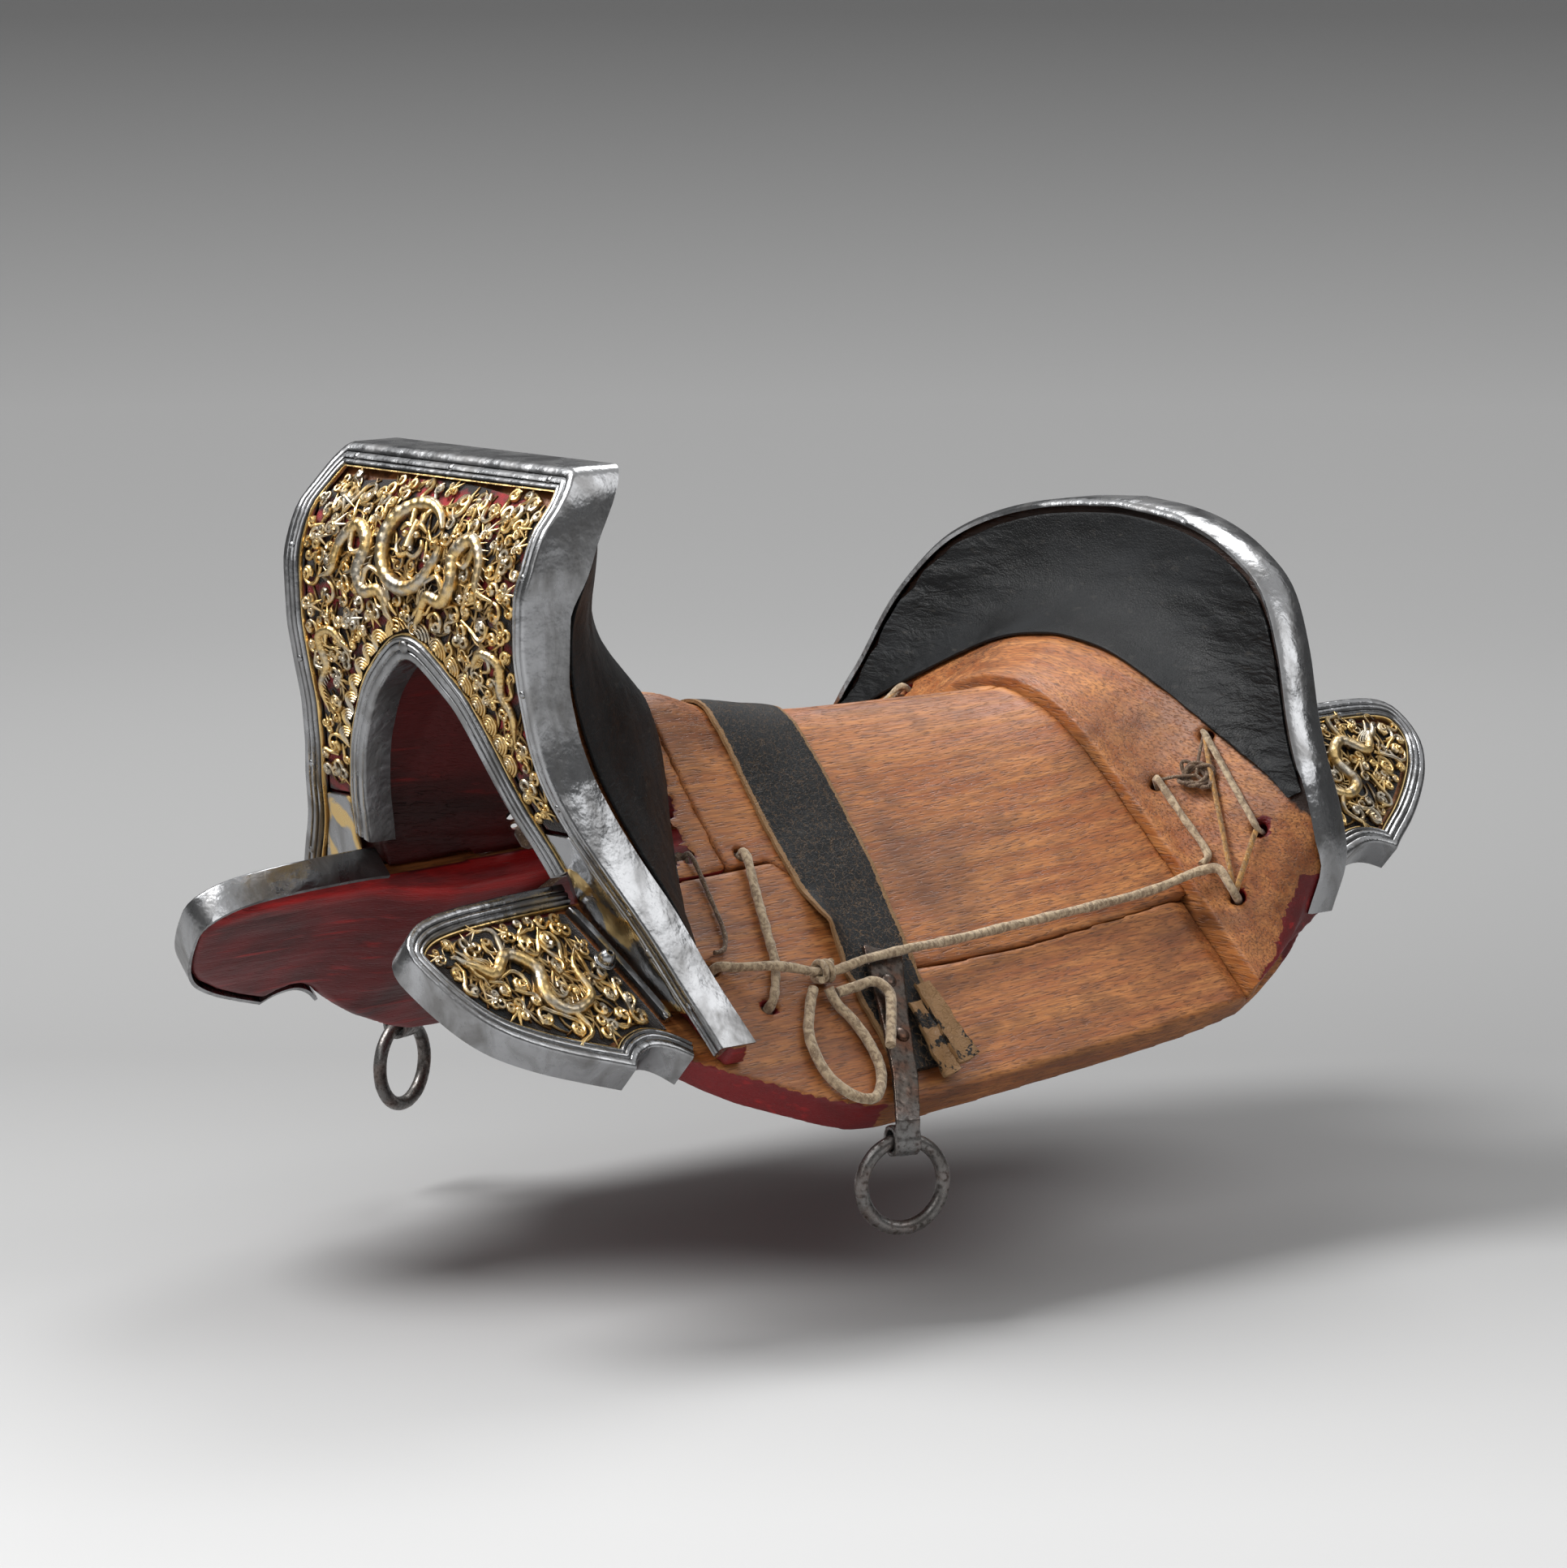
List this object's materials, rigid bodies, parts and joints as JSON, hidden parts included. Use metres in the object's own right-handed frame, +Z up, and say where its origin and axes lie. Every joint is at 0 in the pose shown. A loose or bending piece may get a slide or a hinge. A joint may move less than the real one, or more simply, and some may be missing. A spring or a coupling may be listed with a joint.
{
  "type": "wooden riding saddle",
  "caption": "Wooden riding saddle with arched pommel and cantle, lobed sideboards, pierced gilt panels in steel rims, leather covers, and iron hangers with girth rings.",
  "frame": {"origin": "on the ridge line under the seat, above the horse's spine", "axes": "-Y towards the pommel (the horse's head), +Z up, +X to the rider's left"},
  "size_m": [0.3634, 0.61, 0.3307],
  "materials": {
    "worn_wood": "orange-brown bare wood, grain along the boards, worn pale edges; red lacquer on the inner faces",
    "black_leather": "black, creased and cracked",
    "silvered_steel": "silvered, ridged borders with dark patina",
    "gilt_iron": "pierced and chased, gilded and partly worn",
    "red_cloth": "red cloth behind the openwork",
    "blue_cloth": "blue-grey cloth behind the openwork",
    "dark_iron": "forged, red-brown to black",
    "tan_rawhide": "dry tan rawhide",
    "dark_thong": "thin dark thong"
  },
  "bodies": {
    "root": {"sideboard_left": "worn_wood", "sideboard_right": "worn_wood", "seat_panel_left": "worn_wood", "seat_panel_right": "worn_wood", "pommel_core": "worn_wood", "cantle_core": "worn_wood", "pommel_leather": "black_leather", "cantle_leather": "black_leather", "girth_strap": "black_leather", "pommel_rim": "silvered_steel", "pommel_arch_rim": "silvered_steel", "cantle_rim": "silvered_steel", "cantle_arch_rim": "silvered_steel", "pommel_leg_plate_left": "silvered_steel", "pommel_leg_plate_right": "silvered_steel", "front_lobe_rim_left": "silvered_steel", "front_lobe_rim_right": "silvered_steel", "front_lobe_strip_left": "silvered_steel", "front_lobe_strip_right": "silvered_steel", "rear_lobe_rim_left": "silvered_steel", "rear_lobe_rim_right": "silvered_steel", "rear_lobe_strip_left": "silvered_steel", "rear_lobe_strip_right": "silvered_steel", "front_lobe_stud_left": "silvered_steel", "front_lobe_stud_right": "silvered_steel", "pommel_gilt_panel": "gilt_iron", "cantle_gilt_panel": "gilt_iron", "front_lobe_gilt_panel_left": "gilt_iron", "front_lobe_gilt_panel_right": "gilt_iron", "rear_lobe_gilt_panel_left": "gilt_iron", "rear_lobe_gilt_panel_right": "gilt_iron", "pommel_cloth": "red_cloth", "cantle_cloth": "red_cloth", "front_lobe_cloth_left": "blue_cloth", "front_lobe_cloth_right": "blue_cloth", "rear_lobe_cloth_left": "blue_cloth", "rear_lobe_cloth_right": "blue_cloth", "hanger_left": "dark_iron", "hanger_right": "dark_iron", "hanger_rivet_left_1": "dark_iron", "hanger_rivet_left_2": "dark_iron", "hanger_rivet_right_1": "dark_iron", "hanger_rivet_right_2": "dark_iron", "front_lace_left": "tan_rawhide", "front_lace_right": "tan_rawhide", "inner_lace_left": "tan_rawhide", "inner_lace_right": "tan_rawhide", "rear_lace_left": "tan_rawhide", "rear_lace_right": "tan_rawhide", "rear_flat_lace_left": "tan_rawhide", "rear_flat_lace_right": "tan_rawhide", "tie_thong": "tan_rawhide", "tie_knot": "tan_rawhide", "bow_loop_long": "tan_rawhide", "bow_loop_short": "tan_rawhide", "front_thin_lace_left": "dark_thong", "front_thin_lace_right": "dark_thong"},
    "girth_ring_left": {"girth_ring_left": "dark_iron"},
    "girth_ring_right": {"girth_ring_right": "dark_iron"}
  },
  "joints": [
    {"name": "girth_ring_swing_left", "type": "hinge", "parent": "root", "child": "girth_ring_left", "pos_m": [0.1725, -0.08, -0.15], "axis": [0.3201, 0.9474, 0], "range_deg": [-100, 55]},
    {"name": "girth_ring_swing_right", "type": "hinge", "parent": "root", "child": "girth_ring_right", "pos_m": [-0.1725, -0.08, -0.15], "axis": [-0.3201, 0.9474, 0], "range_deg": [-55, 100]}
  ]
}
